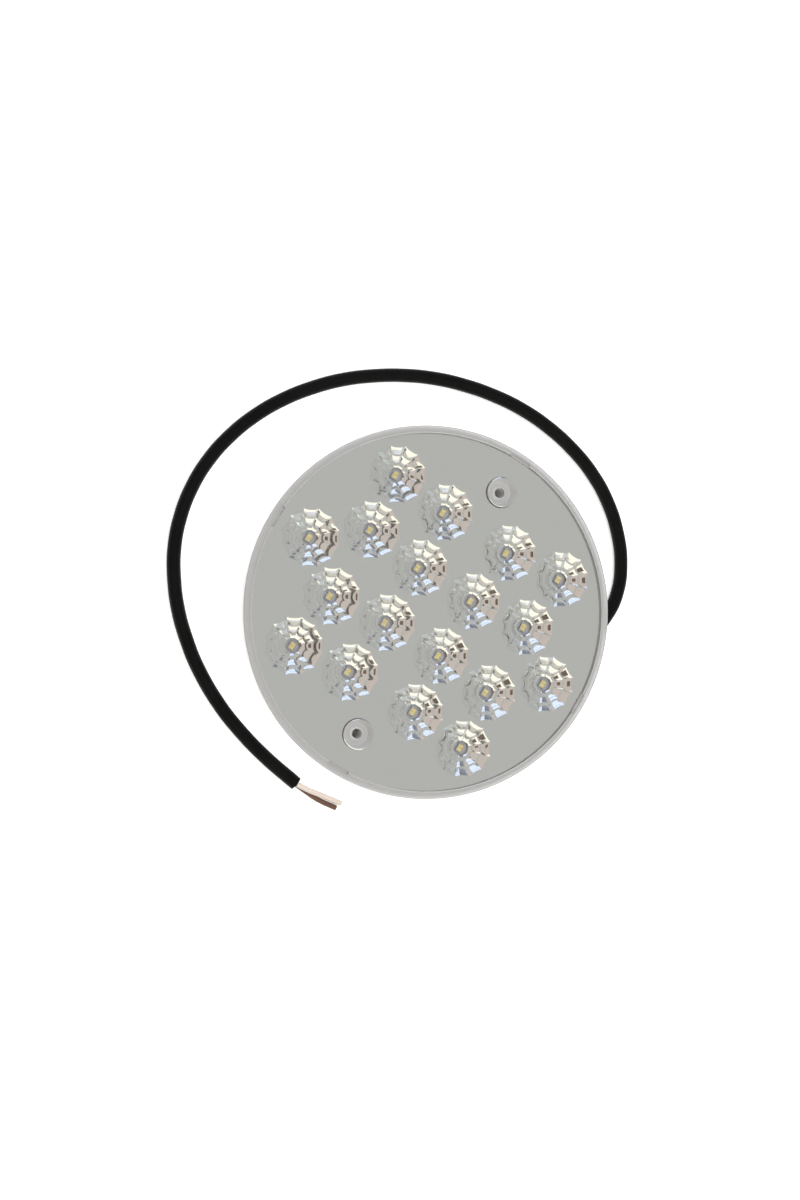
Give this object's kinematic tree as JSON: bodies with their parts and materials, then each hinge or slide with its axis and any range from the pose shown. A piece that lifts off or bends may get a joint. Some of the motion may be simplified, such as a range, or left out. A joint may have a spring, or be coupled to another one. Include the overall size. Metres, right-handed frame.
{
  "type": "round underwater pool light",
  "caption": "Round surface-mounted light: clear sealed lens over a mirrored plate of faceted LED cups, two recessed screw holes, rear wiring space and a bare-ended two-core cord.",
  "frame": {"origin": "centre of the back of the skirt, on the surface the light is fastened to", "axes": "+Z is the way the light shines, square to the mounting surface; the two screw holes lie on the Y axis, and the cord leaves the skirt on the +X side, turning towards +Y"},
  "size_m": [0.1842, 0.1867, 0.02],
  "materials": {
    "housing": "moulded white, fine satin",
    "board": "pale solder mask over glass-fibre laminate",
    "led_body": "white moulded package with a yellow phosphor window",
    "chip": "black moulded package",
    "resistor": "glazed black film",
    "capacitor": "yellow moulded package",
    "screw": "zinc-plated steel",
    "reflector": "plastic with a bright vacuum-metallised mirror face",
    "lens": "clear polished moulded plastic",
    "seal": "grey elastomer",
    "relief": "black moulded elastomer",
    "resin": "black potting resin",
    "jacket": "smooth black cable jacket with a slight sheen",
    "core_white": "off-white core insulation",
    "core_brown": "brown core insulation"
  },
  "bodies": {
    "root": {"base_housing": "housing", "circuit_board": "board", "led_01": "led_body", "led_02": "led_body", "led_03": "led_body", "led_04": "led_body", "led_05": "led_body", "led_06": "led_body", "led_07": "led_body", "led_08": "led_body", "led_09": "led_body", "led_10": "led_body", "led_11": "led_body", "led_12": "led_body", "led_13": "led_body", "led_14": "led_body", "led_15": "led_body", "led_16": "led_body", "led_17": "led_body", "led_18": "led_body", "current_regulator_1": "chip", "current_regulator_2": "chip", "current_regulator_3": "chip", "current_regulator_4": "chip", "current_regulator_5": "chip", "current_regulator_6": "chip", "ballast_resistor_1": "resistor", "ballast_resistor_2": "resistor", "ballast_resistor_3": "resistor", "ballast_resistor_4": "resistor", "ballast_resistor_5": "resistor", "ballast_resistor_6": "resistor", "bridge_rectifier": "chip", "surge_diode": "chip", "smoothing_capacitor": "capacitor", "board_screw_1": "screw", "board_screw_2": "screw", "board_screw_3": "screw", "reflector_plate": "reflector", "front_lens": "lens", "lens_seal": "seal", "boss_seal_1": "seal", "boss_seal_2": "seal", "strain_relief": "relief", "sealing_plug": "resin", "inner_lead_brown": "core_brown", "inner_lead_white": "core_white", "cord_jacket": "jacket", "core_white": "core_white", "core_brown": "core_brown"}
  },
  "joints": []
}
